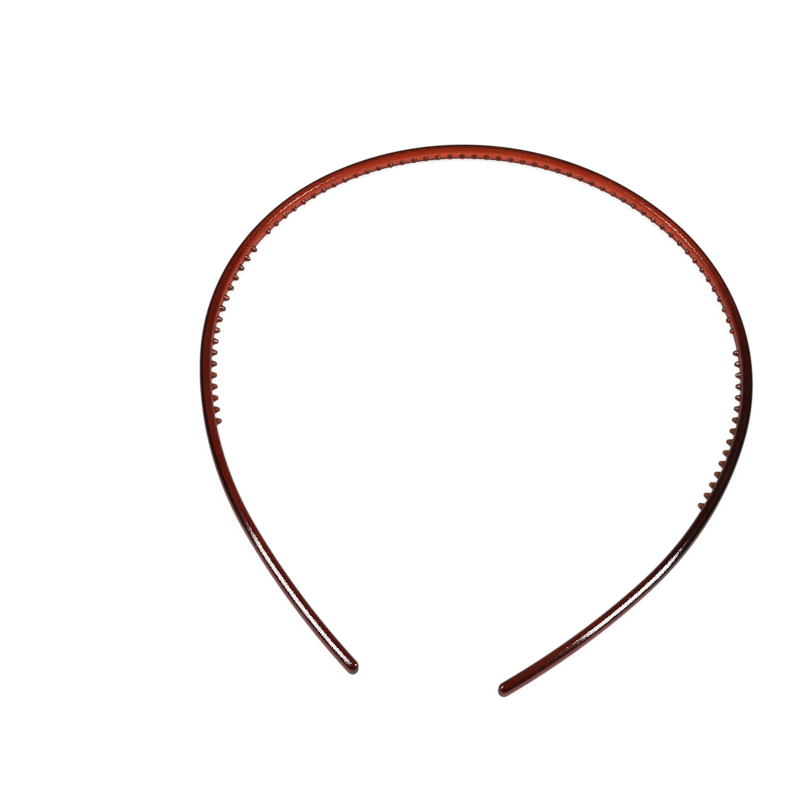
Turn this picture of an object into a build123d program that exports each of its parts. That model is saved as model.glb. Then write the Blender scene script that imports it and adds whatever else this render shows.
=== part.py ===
"""Toothed headband: a springy C-shaped strip worn over the crown and tucked behind the ears.

The band lies flat: its width is along Z, its crown points to +Y and its two arms run down to the
tips at -Y. The origin is under the middle of the band, on the surface that it rests on.

The real headband is one moulding. It is built as the two halves of the strip, which part where
the strip bends most, and the rows of small comb teeth that stand on its inner face.
"""

import os
from math import copysign, cos, degrees, sin

from build123d import *

# --- Driving dimensions, in millimetres and degrees --------------------------------------------

# Centreline of the strip from the crown to one tip: tangent arcs, as (radius, sweep).
crown_radius, crown_sweep = 64.6, 38.3      # over the top of the head
temple_radius, temple_sweep = 55.6, 61.4    # round the side of the head
ear_radius, ear_sweep = 86.6, 28.8          # turning in behind the ear
arm_radius, arm_sweep = 187.0, 11.8         # the smooth, nearly straight end

# Cross-section of the strip.
band_width = 3.7
band_thickness = 2.6
edge_radius = 1.0

# Comb teeth, all in one row along the middle of the inner face.
tooth_pitch = 2.92
side_tooth_height, side_tooth_base_radius = 1.3, 0.95
crown_tooth_height, crown_tooth_base_radius = 0.85, 0.85    # lower over the top of the head
tooth_tip_radius = 0.38
tooth_tip_round = 0.34
tooth_root = 0.5        # buried length, trimmed back to the face of the strip

# Teeth in each run of the row, from the left end. One tooth is left out between two runs.
left_run = 17
crown_run = 48
right_run = 15
row_shift = 1.8         # how far the middle of the row lies to the right of the crown

# --- Lines of the strip ------------------------------------------------------------------------

half_arcs = [
    (crown_radius, crown_sweep),
    (temple_radius, temple_sweep),
    (ear_radius, ear_sweep),
    (arm_radius, arm_sweep),
]


def half_line(crown_point, outset=0.0):
    """Right half of a line that runs `outset` outside the strip's centreline, from the crown."""
    with BuildLine() as line:
        start = crown_point + Vector(0, outset)
        heading = Vector(1, 0)
        for radius, sweep in half_arcs:
            arc = JernArc(start, heading, radius + outset, -sweep)
            start, heading = arc @ 1, arc % 1
    return line.wire()


# The crown is half the centreline's depth above the origin, so that the strip is centred on it.
crown_y = half_line(Vector(0, 0)).bounding_box().size.Y / 2
crown_point = Vector(0, crown_y)

# The strip bends at the middle of the tooth row, where a plane square to it divides the halves.
bend_angle = row_shift / (crown_radius - band_thickness / 2)
crown_centre = crown_point - Vector(0, crown_radius)
bend_plane = Plane(origin=crown_centre, z_dir=(cos(bend_angle), -sin(bend_angle), 0))
hinge_point = crown_centre + Vector(sin(bend_angle), cos(bend_angle)) * (crown_radius + band_thickness / 2)

# --- The strip ---------------------------------------------------------------------------------

with BuildPart() as strip:
    with BuildSketch() as plan:
        with BuildLine() as centreline:
            add(half_line(crown_point))
            mirror(about=Plane.YZ)
            offset(amount=band_thickness / 2, kind=Kind.ARC, mode=Mode.REPLACE)
        make_face()
    extrude(amount=band_width)
    rims = strip.faces().filter_by(Axis.Z).edges()
    fillet(rims, radius=edge_radius)

with BuildPart() as band_left:
    add(strip.part)
    split(bisect_by=bend_plane, keep=Keep.BOTTOM)

with BuildPart() as band_right:
    add(strip.part)
    split(bisect_by=bend_plane, keep=Keep.TOP)

# --- The teeth ---------------------------------------------------------------------------------


def comb_tooth(height, base_radius):
    """Round tapered tooth that stands on the XY plane, with its root below it."""
    flank_slope = (base_radius - tooth_tip_radius) / height
    with BuildPart() as tooth:
        with BuildSketch(Plane.XZ) as profile:
            with BuildLine():
                Polyline(
                    (0, -tooth_root),
                    (base_radius + flank_slope * tooth_root, -tooth_root),
                    (tooth_tip_radius, height),
                    (0, height),
                    close=True,
                )
            make_face()
            fillet(profile.vertices().group_by(Axis.Y)[-1].sort_by(Axis.X)[-1], radius=tooth_tip_round)
        revolve(axis=Axis.Z)
    return tooth.part


side_tooth = comb_tooth(side_tooth_height, side_tooth_base_radius)
crown_tooth = comb_tooth(crown_tooth_height, crown_tooth_base_radius)

inner_line = half_line(crown_point, outset=-band_thickness / 2)


def tooth_seat(distance):
    """Plane on the inner face, `distance` right of the crown along it, facing the head."""
    side = copysign(1, distance)
    point = inner_line.position_at(abs(distance), position_mode=PositionMode.LENGTH)
    along = inner_line.tangent_at(abs(distance), position_mode=PositionMode.LENGTH)
    return Plane(
        origin=(side * point.X, point.Y, band_width / 2),
        x_dir=(0, 0, 1),
        z_dir=(side * along.Y, -along.X, 0),
    )


# Slots along the row: the runs of teeth with one bare slot after the left and the crown run.
slots = left_run + crown_run + right_run + 2
seats = [tooth_seat(row_shift + (slot - (slots - 1) / 2) * tooth_pitch) for slot in range(slots)]
crown_start = left_run + 1
crown_end = crown_start + crown_run
middle = slots // 2

with BuildPart() as side_teeth_left:
    with Locations(*seats[:left_run]):
        add(side_tooth)
    add(strip.part, mode=Mode.SUBTRACT)

with BuildPart() as crown_teeth_left:
    with Locations(*seats[crown_start:middle]):
        add(crown_tooth)
    add(strip.part, mode=Mode.SUBTRACT)

with BuildPart() as crown_teeth_right:
    with Locations(*seats[middle:crown_end]):
        add(crown_tooth)
    add(strip.part, mode=Mode.SUBTRACT)

with BuildPart() as side_teeth_right:
    with Locations(*seats[crown_end + 1:]):
        add(side_tooth)
    add(strip.part, mode=Mode.SUBTRACT)

# --- Export ------------------------------------------------------------------------------------

band_left.part.label = "band_left"
band_right.part.label = "band_right"
side_teeth_left.part.label = "side_teeth_left"
crown_teeth_left.part.label = "crown_teeth_left"
crown_teeth_right.part.label = "crown_teeth_right"
side_teeth_right.part.label = "side_teeth_right"

os.makedirs("parts", exist_ok=True)
export_step(band_left.part, "parts/band_left.step")
export_step(band_right.part, "parts/band_right.step")
export_step(side_teeth_left.part, "parts/side_teeth_left.step")
export_step(crown_teeth_left.part, "parts/crown_teeth_left.step")
export_step(crown_teeth_right.part, "parts/crown_teeth_right.step")
export_step(side_teeth_right.part, "parts/side_teeth_right.step")

# Sizes that the record repeats.
box = strip.part.bounding_box()
print(f"strip {box.size.X:.2f} x {box.size.Y:.2f} x {box.size.Z:.2f}, centre {box.center()}")
print(f"bend at {degrees(bend_angle):.2f} degrees, hinge at {hinge_point}")
print(f"last seats {seats[0].origin}, {seats[-1].origin}")
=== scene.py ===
"""Looks of the toothed headband: one strip with its comb teeth, in translucent tortoise plastic."""

import math

import bpy
from mathutils import Matrix, Vector


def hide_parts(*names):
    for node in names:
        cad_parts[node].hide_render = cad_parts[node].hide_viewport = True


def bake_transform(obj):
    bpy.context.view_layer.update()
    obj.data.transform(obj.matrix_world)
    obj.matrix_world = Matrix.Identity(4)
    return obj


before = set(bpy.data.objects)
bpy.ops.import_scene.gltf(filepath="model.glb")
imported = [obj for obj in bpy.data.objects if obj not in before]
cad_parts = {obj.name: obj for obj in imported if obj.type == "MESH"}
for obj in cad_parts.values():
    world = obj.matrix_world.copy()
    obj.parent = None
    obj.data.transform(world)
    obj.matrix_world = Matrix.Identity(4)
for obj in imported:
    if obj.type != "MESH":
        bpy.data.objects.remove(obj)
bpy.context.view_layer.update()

MM = 0.001

# --- Sizes of the strip, in metres, as in the CAD ----------------------------------------------

# Centreline of one half from the crown to the tip: tangent arcs, as (radius, sweep in degrees).
HALF_ARCS = ((64.6 * MM, 38.3), (55.6 * MM, 61.4), (86.6 * MM, 28.8), (187.0 * MM, 11.8))
BAND_WIDTH = 3.7 * MM
BAND_THICKNESS = 2.6 * MM
EDGE_RADIUS = 1.0 * MM

TOOTH_PITCH = 2.92 * MM
SIDE_TOOTH = (1.3 * MM, 0.95 * MM)      # height and base radius
CROWN_TOOTH = (0.85 * MM, 0.85 * MM)
TOOTH_TIP_RADIUS = 0.38 * MM
TOOTH_TIP_ROUND = 0.34 * MM
LEFT_RUN, CROWN_RUN, RIGHT_RUN = 17, 48, 15
ROW_SHIFT = 1.8 * MM

HALF_T = BAND_THICKNESS / 2
HALF_W = BAND_WIDTH / 2


# --- Centreline --------------------------------------------------------------------------------

def half_lengths():
    """Length of each arc of the half centreline."""
    return [radius * math.radians(sweep) for radius, sweep in HALF_ARCS]


HALF_LENGTH = sum(half_lengths())


def half_point(distance):
    """Point, heading and radius of the right half's centreline, with the crown at (0, 0)."""
    x = y = heading = 0.0
    for (radius, sweep), length in zip(HALF_ARCS, half_lengths()):
        last = (radius, sweep) == HALF_ARCS[-1]
        step = distance if last else min(distance, length)
        turn = step / radius
        x += radius * (math.sin(heading + turn) - math.sin(heading))
        y += radius * (math.cos(heading + turn) - math.cos(heading))
        heading += turn
        distance -= step
        if distance <= 0:
            break
    return x, y, heading, radius


CROWN_Y = -half_point(HALF_LENGTH)[1] / 2


def centre(s):
    """Point on the centreline, outward normal, and curvature, at arc length s from the crown."""
    side = math.copysign(1, s)
    x, y, heading, radius = half_point(abs(s))
    point = Vector((side * x, CROWN_Y + y, HALF_W))
    normal = Vector((side * math.sin(heading), math.cos(heading), 0))
    return point, normal, 1 / radius


def inner_to_centre(distance):
    """Arc length along the centreline that lies beside `distance` along the inner face."""
    left = abs(distance)
    total = 0.0
    for (radius, _), length in zip(HALF_ARCS, half_lengths()):
        inner = length * (1 - HALF_T / radius)
        if left <= inner:
            return math.copysign(total + left / (1 - HALF_T / radius), distance)
        left -= inner
        total += length
    return math.copysign(total, distance)


# --- Mesh of the moulding ----------------------------------------------------------------------

INNER_EDGE_ANGLES = (13, 31, 48)    # points on the rounded inner edge, below its crease, in degrees
OUTER_EDGE_ANGLES = (40, 17)        # points on the rounded outer edge, below its soft bevel
# The crease and the bevel, as (outward, up) points from the inner side to the outer.
CREASE = ((-0.779 * MM, 1.765 * MM), (-0.692 * MM, 1.805 * MM), (-0.439 * MM, 1.840 * MM))
BEVEL = (
    (0.10 * MM, 1.85 * MM), (0.28 * MM, 1.808 * MM), (0.67 * MM, 1.708 * MM), (0.85 * MM, 1.655 * MM),
)
CREST = -0.2 * MM                   # where the strip is widest, a little inside its middle
FACE_POINT = 0.6 * MM               # height of the extra point on the inner and outer faces
PATCH_HALF = 1.2 * MM               # half length of the patch of inner face that a tooth stands on
PATCH_STEPS = (-2, -1, 0, 1, 2)     # a patch has this many rings, and as many points across
FOOT = ((0.06 * MM, 0.01 * MM), (-0.03 * MM, 0.07 * MM))    # tooth's blended foot, as (wider, up)
FLANK_SHARES = (0.25, 0.6, 0.95)    # rings up a tooth's flank
TIP_ANGLES = (28, 54, 78)           # rings round a tooth's tip
ARM_STEP = 1.0 * MM                 # distance between rings where there are no teeth
CAP_ANGLES = (18, 36, 52, 66, 78)   # rings that round off a tip of the strip
SMOOTH_LEVELS = 1
RIM_SHADE_START = (0.5 * MM, 1.0 * MM)    # the painted shade on the outer edge begins this far outward and up
THIN = "thin"                       # mesh attribute: 1 on the teeth, where a glow is painted
RIM_SHADE = "rim_shade"                         # mesh attribute: 1 on the rounded outer edge, where shade is painted
ALONG = "along"                     # mesh attribute: arc length from the crown
HOME = "home"                       # mesh attribute: the point's place at rest


def section():
    """Outline of the strip as (outward, up) pairs, from the middle of the inner face and upwards."""
    def on_edge(angle):
        a = math.radians(angle)
        return HALF_T - EDGE_RADIUS * (1 - math.cos(a)), HALF_W - EDGE_RADIUS * (1 - math.sin(a))

    upper = [(-HALF_T, 0.0), (-HALF_T, FACE_POINT)]
    upper += [(-n, z) for n, z in map(on_edge, INNER_EDGE_ANGLES)]
    upper += [*CREASE, (CREST, HALF_W), *BEVEL]
    upper += [on_edge(angle) for angle in OUTER_EDGE_ANGLES]
    upper += [(HALF_T, FACE_POINT), (HALF_T, 0.0)]
    lower = [(n, -z) for n, z in reversed(upper[1:-1])]
    return upper + lower


SECTION = section()
COLUMNS = len(SECTION)


def tooth_profile(height, base_radius):
    """(radius, height) rings of a tooth, from its blended foot to its rounded tip."""
    slope = (base_radius - TOOTH_TIP_RADIUS) / height
    shoulder = height - TOOTH_TIP_ROUND
    rings = [(base_radius + wider, up) for wider, up in FOOT]
    rings += [(base_radius - slope * shoulder * share, shoulder * share) for share in FLANK_SHARES]
    for angle in map(math.radians, TIP_ANGLES):
        reach = (base_radius - slope * shoulder) * math.cos(angle)
        rings.append((reach, shoulder + TOOTH_TIP_ROUND * math.sin(angle)))
    return rings


def edge_setback(z):
    """How far the inner face stands back at height z: nothing, then the round of the edge."""
    over = max(0.0, abs(z) - (HALF_W - EDGE_RADIUS))
    return EDGE_RADIUS - math.sqrt(EDGE_RADIUS ** 2 - over ** 2)


def tooth_row():
    """(arc length, height and base radius) of each tooth, from the left."""
    slots = LEFT_RUN + CROWN_RUN + RIGHT_RUN + 2
    bare = (LEFT_RUN, LEFT_RUN + 1 + CROWN_RUN)
    teeth = []
    for slot in range(slots):
        seat = inner_to_centre(ROW_SHIFT + (slot - (slots - 1) / 2) * TOOTH_PITCH)
        if slot not in bare:
            teeth.append((seat, CROWN_TOOTH if bare[0] < slot < bare[1] else SIDE_TOOTH))
    return teeth


def spread_rows(start, end):
    """Arc lengths from start up to end, about ARM_STEP apart, leaving out both ends."""
    count = max(1, round((end - start) / ARM_STEP))
    return [start + (end - start) * i / count for i in range(1, count)]


def moulding_mesh():
    """The strip as rings of points joined by quads, with a tooth let into each patch.

    Also gives each point's arc length, and says whether it is on an outer edge, where shade is
    painted, or on a tooth, where the plastic is thin and a glow is painted.
    """
    verts, faces, along, rim_shade = [], [], [], []
    teeth = tooth_row()

    def ring(s, reach=0.0, thick=1.0, wide=1.0):
        point, normal, _ = centre(s)
        end_on = math.copysign(1, s) * Vector((normal.y, -normal.x, 0))
        base = len(verts)
        for n, z in SECTION:
            verts.append(point + end_on * reach + normal * n * thick + Vector((0, 0, z * wide)))
            along.append(s)
            # 1 where shade is painted on the rounded outer edge
            rim_shade.append(float(n > RIM_SHADE_START[0] and z > RIM_SHADE_START[1]))
        return base

    def cap(end):
        """Rings that round off a tip, outwards."""
        rings = []
        for angle in map(math.radians, CAP_ANGLES):
            reach = HALF_T * math.sin(angle)
            over = max(0.0, reach - (HALF_T - EDGE_RADIUS))
            height = HALF_W - EDGE_RADIUS + math.sqrt(EDGE_RADIUS ** 2 - over ** 2)
            rings.append(ring(end, reach, math.cos(angle), height / HALF_W))
        return rings

    rings = cap(-HALF_LENGTH)[::-1] + [ring(-HALF_LENGTH)]
    previous = -HALF_LENGTH
    patches = {}
    for seat, size in teeth:
        rings += [ring(s) for s in spread_rows(previous, seat - PATCH_HALF)]
        patches[len(rings)] = (seat, size)
        rings += [ring(seat + PATCH_HALF * k / PATCH_STEPS[-1]) for k in PATCH_STEPS]
        previous = seat + PATCH_HALF
    rings += [ring(s) for s in spread_rows(previous, HALF_LENGTH)] + [ring(HALF_LENGTH)]
    rings += cap(HALF_LENGTH)

    open_spans = {first + k for first in patches for k in range(len(PATCH_STEPS) - 1)}
    open_columns = {column % COLUMNS for column in PATCH_STEPS[:-1]}
    for r in range(len(rings) - 1):
        for c in range(COLUMNS):
            if r in open_spans and c in open_columns:
                continue
            d = (c + 1) % COLUMNS
            faces.append((rings[r] + c, rings[r + 1] + c, rings[r + 1] + d, rings[r] + d))

    faces += [face[::-1] for face in end_faces(rings[-1])] + end_faces(rings[0])
    strip_count = len(verts)
    for first, (seat, size) in patches.items():
        border = patch_border(rings[first:first + len(PATCH_STEPS)])
        faces += tooth_faces(verts, border, seat, tooth_profile(*size))
        along += [seat] * (len(verts) - len(along))
    rim_shade += [0.0] * (len(verts) - strip_count)
    thin = [float(index >= strip_count) for index in range(len(verts))]
    return verts, faces, {THIN: thin, RIM_SHADE: rim_shade, ALONG: along}


def end_faces(base):
    """Faces that fill the last ring of a tip, wound for the left one."""
    pairs = [(base + c, base + (COLUMNS - c) % COLUMNS) for c in range(COLUMNS // 2 + 1)]
    quads = [(a, c, d, b) for (a, b), (c, d) in zip(pairs, pairs[1:])]
    return [tuple(dict.fromkeys(quad)) for quad in quads]


def patch_border(bases):
    """Vertices round a patch's edge, seen from the head, from its lower right corner."""
    columns = [c % COLUMNS for c in PATCH_STEPS]
    right = [bases[-1] + c for c in columns]
    top = [base + columns[-1] for base in reversed(bases[:-1])]
    left = [bases[0] + c for c in reversed(columns[:-1])]
    bottom = [base + columns[0] for base in bases[1:-1]]
    return right + top + left + bottom


def tooth_faces(verts, border, seat, profile):
    """Faces that join a patch's border to the rings of a tooth, and close the tooth's tip."""
    point, normal, curvature = centre(seat)
    inner_scale = 1 - HALF_T * curvature
    count = len(border)
    faces = []
    previous = border
    for radius, height in profile:
        current = []
        for i in range(count):
            angle = 2 * math.pi * (i + PATCH_STEPS[0]) / count
            ds, dz = radius * math.cos(angle), radius * math.sin(angle)
            foot, outward, _ = centre(seat + ds / inner_scale)
            on_face = foot - outward * (HALF_T - edge_setback(dz)) + Vector((0, 0, dz))
            current.append(len(verts))
            verts.append(on_face - normal * height)
        for i in range(count):
            j = (i + 1) % count
            faces.append((previous[i], previous[j], current[j], current[i]))
        previous = current
    tip = len(verts)
    verts.append(point - normal * (HALF_T + profile[-1][1]))
    for i in range(0, count, 2):
        faces.append((previous[i], previous[i + 1], previous[(i + 2) % count], tip))
    return faces


def make_moulding():
    """The moulding as one Blender object, before it is smoothed."""
    verts, faces, values = moulding_mesh()
    mesh = bpy.data.meshes.new("headband_moulding")
    mesh.from_pydata([tuple(v) for v in verts], [], faces)
    for name, numbers in values.items():
        mesh.attributes.new(name, "FLOAT", "POINT").data.foreach_set("value", numbers)
    mesh.update()
    piece = bpy.data.objects.new("headband_moulding", mesh)
    bpy.context.scene.collection.objects.link(piece)
    return piece


def subdivide(piece, levels):
    """Smooth the piece for good, so that its points are final."""
    modifier = piece.modifiers.new("smooth", "SUBSURF")
    modifier.levels = modifier.render_levels = levels
    bpy.context.view_layer.update()
    evaluated = piece.evaluated_get(bpy.context.evaluated_depsgraph_get())
    smooth = bpy.data.meshes.new_from_object(evaluated)
    piece.modifiers.clear()
    piece.data = smooth
    smooth.shade_smooth()


def keep_home(piece):
    """Note where each point is at rest, so that the plastic's marks are laid out by these places."""
    mesh = piece.data
    home = mesh.attributes.new(HOME, "FLOAT_VECTOR", "POINT").data
    for place, vertex in zip(home, mesh.vertices):
        place.vector = vertex.co


def bend_along(piece):
    """Lay the points out along the strip by their arc length, bake the object's transform into them,
    and put them back where they were.
    """
    vertices = piece.data.vertices
    home = [vertex.co.copy() for vertex in vertices]
    for vertex, place in zip(vertices, piece.data.attributes[ALONG].data):
        vertex.co = (place.value, 0, 0)
    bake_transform(piece)
    for vertex, co in zip(piece.data.vertices, home):
        vertex.co = co


# --- Material ----------------------------------------------------------------------------------

IOR = 1.52
TRANSMISSION = 0.95
DEPTH_COLOUR = (0.955, 0.78, 0.66, 1)   # tint of light that has gone through the plastic
DEPTH_DENSITY = 1100
MOTTLE_SCALE, MOTTLE_DETAIL = 90, 3
MOTTLE = ((0.35, (0.85, 0.10, 0.032, 1)), (0.65, (1.0, 0.18, 0.065, 1)))    # (noise, colour)
TOOTH_GLOW_COLOUR = (1.0, 0.34, 0.15, 1)     # painted glow: a paler colour for the light that comes through the thin teeth

# Painted shade: tones that darken the mottled colour where the band lies in shade. Places are in
# metres, and the arms lie towards -Y.
RIGHT_SHADE_CENTRE = (0.064, -0.010, 0.0)       # middle of the painted shade on the right side
RIGHT_SHADE_CORE, RIGHT_SHADE_EDGE = 0.022, 0.070
RIGHT_SHADE_TONE = 0.30
ARM_SHADE_FADE = (-0.062, -0.030)             # painted shade fades from the arms to the toothed part
ARM_SHADE_TONE = 0.62
RIM_SHADE_TONES = (0.30, 0.08)                # painted shade of the outer edge, on the arms and on the toothed part

POLISH_EDGE = (-0.022, -0.008)          # from the polished arms to the duller toothed part
ARM_ROUGHNESS = 0.07
COMB_ROUGHNESS = 0.14


def new_material(name):
    """Material without nodes, and its lists of nodes and links."""
    material = bpy.data.materials.new(name)
    material.use_nodes = True
    nodes, links = material.node_tree.nodes, material.node_tree.links
    nodes.clear()
    return material, nodes, links


def calculate(nodes, links, operation, first, second):
    """Result of a math node. Each input is a number or another node's output."""
    node = nodes.new("ShaderNodeMath")
    node.operation = operation
    for socket, value in zip(node.inputs, (first, second)):
        if isinstance(value, float):
            socket.default_value = value
        else:
            links.new(value, socket)
    return node.outputs[0]


def tortoise_plastic():
    """See-through red-brown plastic: mottled, with painted shade on the arms, outer edge and right
    side, and a painted glow on the teeth.
    """
    material, nodes, links = new_material("tortoise_plastic")
    output = nodes.new("ShaderNodeOutputMaterial")
    shader = nodes.new("ShaderNodeBsdfPrincipled")
    shader.inputs["IOR"].default_value = IOR
    shader.inputs["Transmission Weight"].default_value = TRANSMISSION
    links.new(shader.outputs["BSDF"], output.inputs["Surface"])

    absorb = nodes.new("ShaderNodeVolumeAbsorption")
    absorb.inputs["Color"].default_value = DEPTH_COLOUR
    absorb.inputs["Density"].default_value = DEPTH_DENSITY
    links.new(absorb.outputs["Volume"], output.inputs["Volume"])

    def attribute(name, output_name="Fac"):
        node = nodes.new("ShaderNodeAttribute")
        node.attribute_name = name
        return node.outputs[output_name]

    place = attribute(HOME, "Vector")
    mottle = nodes.new("ShaderNodeTexNoise")
    mottle.inputs["Scale"].default_value = MOTTLE_SCALE
    mottle.inputs["Detail"].default_value = MOTTLE_DETAIL
    links.new(place, mottle.inputs["Vector"])
    ramp = nodes.new("ShaderNodeValToRGB")
    for element, (position, tint) in zip(ramp.color_ramp.elements, MOTTLE):
        element.position = position
        element.color = tint
    links.new(mottle.outputs["Fac"], ramp.inputs["Fac"])

    def remap(value, start, end, low, high):
        """Value that goes smoothly from low to high as the given one goes from start to end."""
        node = nodes.new("ShaderNodeMapRange")
        node.interpolation_type = "SMOOTHSTEP"
        limits = {"From Min": start, "From Max": end, "To Min": low, "To Max": high}
        for socket, number in limits.items():
            node.inputs[socket].default_value = number
        links.new(value, node.inputs["Value"])
        return node.outputs["Result"]

    axes = nodes.new("ShaderNodeSeparateXYZ")
    links.new(place, axes.inputs["Vector"])
    # painted shade on the right side, strongest round its middle
    right_shade = nodes.new("ShaderNodeVectorMath")
    right_shade.operation = "DISTANCE"
    right_shade.inputs[1].default_value = RIGHT_SHADE_CENTRE
    links.new(place, right_shade.inputs[0])
    # painted shade: darker on the right side and along the arms
    painted_shade = calculate(
        nodes, links, "MINIMUM",
        remap(right_shade.outputs["Value"], RIGHT_SHADE_CORE, RIGHT_SHADE_EDGE, RIGHT_SHADE_TONE, 1.0),
        remap(axes.outputs["Y"], *ARM_SHADE_FADE, ARM_SHADE_TONE, 1.0),
    )
    # painted shade on the rounded outer edge, deepest on the toothed part
    rim_shade_tone = calculate(
        nodes, links, "MAXIMUM",
        remap(attribute(RIM_SHADE), 0.0, 1.0, 1.0, 0.0),
        remap(axes.outputs["Y"], *ARM_SHADE_FADE, *RIM_SHADE_TONES),
    )
    shaded_tone = calculate(nodes, links, "MINIMUM", painted_shade, rim_shade_tone)
    shade = nodes.new("ShaderNodeVectorMath")
    shade.operation = "SCALE"
    links.new(ramp.outputs["Color"], shade.inputs[0])
    links.new(shaded_tone, shade.inputs["Scale"])

    # the teeth take a paler colour, a painted glow of light through them
    colour = nodes.new("ShaderNodeMix")
    colour.data_type = "RGBA"
    factor, strip_colour, tooth_glow_colour = colour.inputs[0], colour.inputs[6], colour.inputs[7]
    links.new(attribute(THIN), factor)
    links.new(shade.outputs["Vector"], strip_colour)
    tooth_glow_colour.default_value = TOOTH_GLOW_COLOUR
    links.new(colour.outputs[2], shader.inputs["Base Color"])

    roughness = remap(axes.outputs["Y"], *POLISH_EDGE, ARM_ROUGHNESS, COMB_ROUGHNESS)
    links.new(roughness, shader.inputs["Roughness"])
    return material


# --- Stage -------------------------------------------------------------------------------------

FLOOR_REACH = 1.5
FLOOR_LEVEL = -0.02 * MM
FLOOR_WHITE = 0.2
FLOOR_GLOW = 0.86
CONTACT_REACH = 4 * MM              # within this distance of the object its reflected glow dims
CONTACT_SAMPLES = 16
CONTACT_POWER = 1.6
GLOW_MIRRORED = 0.35                # share of the glow that is seen mirrored in the plastic
GLOW_THROUGH = 1.15                 # and seen through it

WORLD_LIGHT = 0.05
WORLD_SEEN = 0.9                    # close to the table's brightness, so the horizon is faint

# Long soft lights, as (name, high end, low end, width, power).
STRIP_LIGHTS = (
    ("left_strip", (-0.27, 0.13, 0.945), (-0.58, -0.16, 0.80), 0.20, 5.8),
    ("right_strip", (0.31, 0.19, 0.92), (0.65, -0.11, 0.77), 0.18, 6.0),
)

CAMERA_ANGLES = (2.05, 62.0, 6.53)  # azimuth, elevation and roll, in degrees
CAMERA_DISTANCE = 0.4258
CAMERA_TARGET = (0, -0.0011, HALF_W)
CAMERA_SENSOR, CAMERA_LENS = 36, 85.72
CAMERA_SHIFT = (-0.0893, 0.0021)
CAMERA_CLIP = (0.01, 10)


def make_floor():
    """White table under the object."""
    mesh = bpy.data.meshes.new("floor")
    corners = [(FLOOR_REACH * x, FLOOR_REACH * y, 0) for x, y in ((-1, -1), (1, -1), (1, 1), (-1, 1))]
    mesh.from_pydata(corners, [], [(0, 1, 2, 3)])
    floor = bpy.data.objects.new("floor", mesh)
    bpy.context.scene.collection.objects.link(floor)
    floor.location.z = FLOOR_LEVEL
    mesh.materials.append(white_table())


def white_table():
    """White surface that glows to the camera and, dimmer near the object, in and through the object."""
    material, nodes, links = new_material("white_table")

    def combine(operation, first, second):
        return calculate(nodes, links, operation, first, second)

    path = nodes.new("ShaderNodeLightPath")
    contact = nodes.new("ShaderNodeAmbientOcclusion")
    contact.samples = CONTACT_SAMPLES
    contact.inputs["Distance"].default_value = CONTACT_REACH
    open_sky = combine("POWER", contact.outputs["AO"], CONTACT_POWER)
    mirrored = combine("MULTIPLY", path.outputs["Is Glossy Ray"], GLOW_MIRRORED)
    through = combine("MULTIPLY", path.outputs["Is Transmission Ray"], GLOW_THROUGH)
    by_object = combine("MAXIMUM", mirrored, through)
    seen = combine("MAXIMUM", path.outputs["Is Camera Ray"], combine("MULTIPLY", by_object, open_sky))
    glow = nodes.new("ShaderNodeEmission")
    links.new(combine("MULTIPLY", seen, FLOOR_GLOW), glow.inputs["Strength"])
    diffuse = nodes.new("ShaderNodeBsdfDiffuse")
    diffuse.inputs["Color"].default_value = (FLOOR_WHITE, FLOOR_WHITE, FLOOR_WHITE, 1)
    both = nodes.new("ShaderNodeAddShader")
    links.new(diffuse.outputs[0], both.inputs[0])
    links.new(glow.outputs[0], both.inputs[1])
    output = nodes.new("ShaderNodeOutputMaterial")
    links.new(both.outputs[0], output.inputs["Surface"])
    return material


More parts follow.
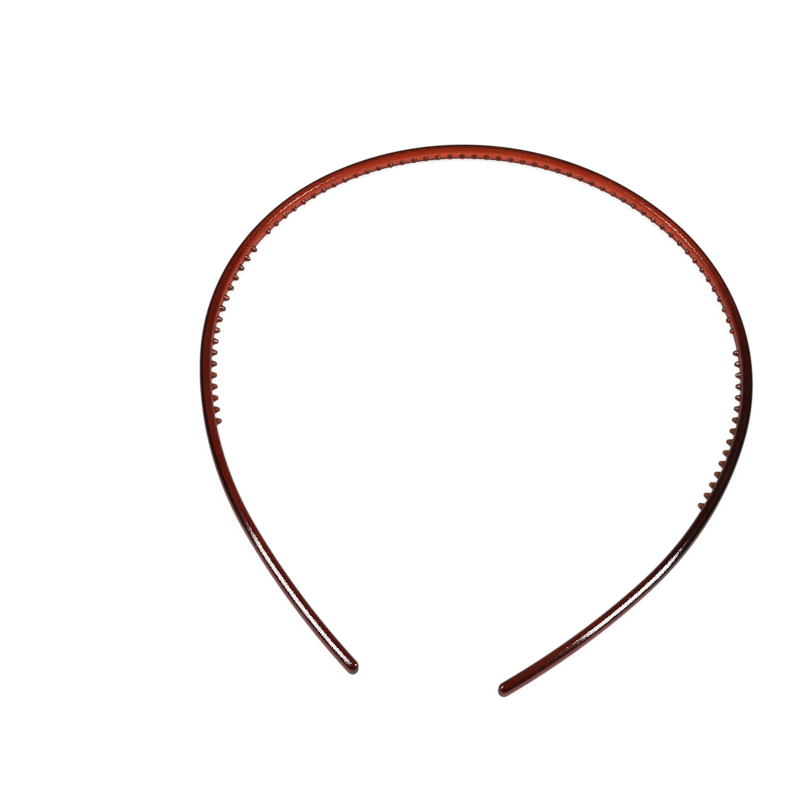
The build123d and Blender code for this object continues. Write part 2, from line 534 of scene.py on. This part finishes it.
def strip_light(name, high_end, low_end, width, power):
    """Long soft light that lies between two points and faces the object.

    The plastic mirrors it, but it isn't seen through the plastic.
    """
    high_end, low_end = Vector(high_end), Vector(low_end)
    place = (high_end + low_end) / 2
    back = place.normalized()
    along = (high_end - low_end).normalized()
    across = back.cross(along).normalized()
    along = across.cross(back)
    lamp = bpy.data.lights.new(name, "AREA")
    lamp.shape = "RECTANGLE"
    lamp.size, lamp.size_y = width, (high_end - low_end).length
    lamp.energy = power
    light = bpy.data.objects.new(name, lamp)
    bpy.context.scene.collection.objects.link(light)
    light.matrix_world = Matrix.Translation(place) @ Matrix((across, along, back)).transposed().to_4x4()
    light.visible_transmission = False


def make_camera():
    """Camera above and in front of the band, turned a little about its own axis."""
    azimuth, elevation, roll = map(math.radians, CAMERA_ANGLES)
    back = Vector((
        math.sin(azimuth) * math.cos(elevation),
        -math.cos(azimuth) * math.cos(elevation),
        math.sin(elevation),
    ))
    level = Vector((math.cos(azimuth), math.sin(azimuth), 0))
    rise = back.cross(level)
    right = level * math.cos(roll) + rise * math.sin(roll)
    up = rise * math.cos(roll) - level * math.sin(roll)
    data = bpy.data.cameras.new("camera")
    data.sensor_width = CAMERA_SENSOR
    data.lens = CAMERA_LENS
    data.shift_x, data.shift_y = CAMERA_SHIFT
    data.clip_start, data.clip_end = CAMERA_CLIP
    camera = bpy.data.objects.new("camera", data)
    bpy.context.scene.collection.objects.link(camera)
    place = Vector(CAMERA_TARGET) + back * CAMERA_DISTANCE
    camera.matrix_world = Matrix.Translation(place) @ Matrix((right, up, back)).transposed().to_4x4()
    bpy.context.scene.camera = camera


def make_world():
    """Faint even light from all round, with a pale backdrop where the camera sees past the table."""
    world = bpy.data.worlds.new("studio")
    world.use_nodes = True
    background = world.node_tree.nodes["Background"]
    background.inputs["Color"].default_value = (1, 1, 1, 1)
    nodes, links = world.node_tree.nodes, world.node_tree.links
    seen = nodes.new("ShaderNodeMapRange")
    seen.inputs["To Min"].default_value = WORLD_LIGHT
    seen.inputs["To Max"].default_value = WORLD_SEEN
    links.new(nodes.new("ShaderNodeLightPath").outputs["Is Camera Ray"], seen.inputs["Value"])
    links.new(seen.outputs["Result"], background.inputs["Strength"])
    bpy.context.scene.world = world


# --- Assembly ----------------------------------------------------------------------------------

moulding = make_moulding()
subdivide(moulding, SMOOTH_LEVELS)
moulding.data.materials.append(tortoise_plastic())
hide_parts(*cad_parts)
keep_home(moulding)
bend_along(moulding)

make_floor()
make_world()
for strip in STRIP_LIGHTS:
    strip_light(*strip)
make_camera()
bpy.context.scene.view_settings.view_transform = "Standard"
